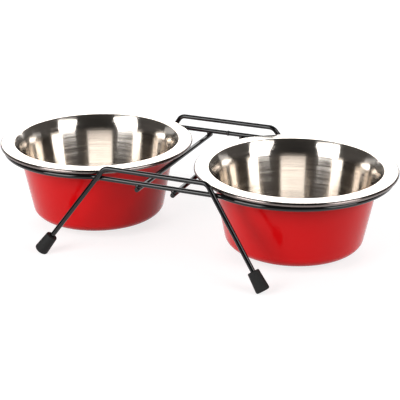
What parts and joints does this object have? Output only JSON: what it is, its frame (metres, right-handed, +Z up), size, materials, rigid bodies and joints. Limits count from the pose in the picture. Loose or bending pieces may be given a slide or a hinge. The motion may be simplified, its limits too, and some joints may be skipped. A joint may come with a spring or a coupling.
{
  "type": "double pet bowl",
  "caption": "Round steel pet bowls with red outsides, hung by their rolled rims in a low black wire stand with carrying bars and rubber feet.",
  "frame": {"origin": "on the ground, half way between the two bowls", "axes": "+X along the row of bowls to the right, +Y from front to rear, +Z up"},
  "size_m": [0.346, 0.192, 0.0783],
  "materials": {
    "bowl_steel": "polished sheet with fine turning marks",
    "red_enamel": "gloss lacquer",
    "black_wire": "gloss black coat on steel wire",
    "foot_rubber": "matt"
  },
  "bodies": {
    "stand": {"ring_wire": "black_wire", "front_leg_wire": "black_wire", "rear_leg_wire": "black_wire", "left_cross_wire": "black_wire", "right_cross_wire": "black_wire", "leg_welds": "black_wire", "cross_wire_welds": "black_wire", "ring_closing_weld": "black_wire", "front_left_foot": "foot_rubber", "front_right_foot": "foot_rubber", "rear_left_foot": "foot_rubber", "rear_right_foot": "foot_rubber"},
    "bowl_left": {"left_bowl": "bowl_steel", "left_bowl_coat": "red_enamel"},
    "bowl_right": {"right_bowl": "bowl_steel", "right_bowl_coat": "red_enamel"}
  },
  "joints": [
    {"name": "left_bowl_lift", "type": "slide", "parent": "stand", "child": "bowl_left", "axis": [0, 0, 1], "range_m": [0, 0.085]},
    {"name": "right_bowl_lift", "type": "slide", "parent": "stand", "child": "bowl_right", "axis": [0, 0, 1], "range_m": [0, 0.085]}
  ]
}
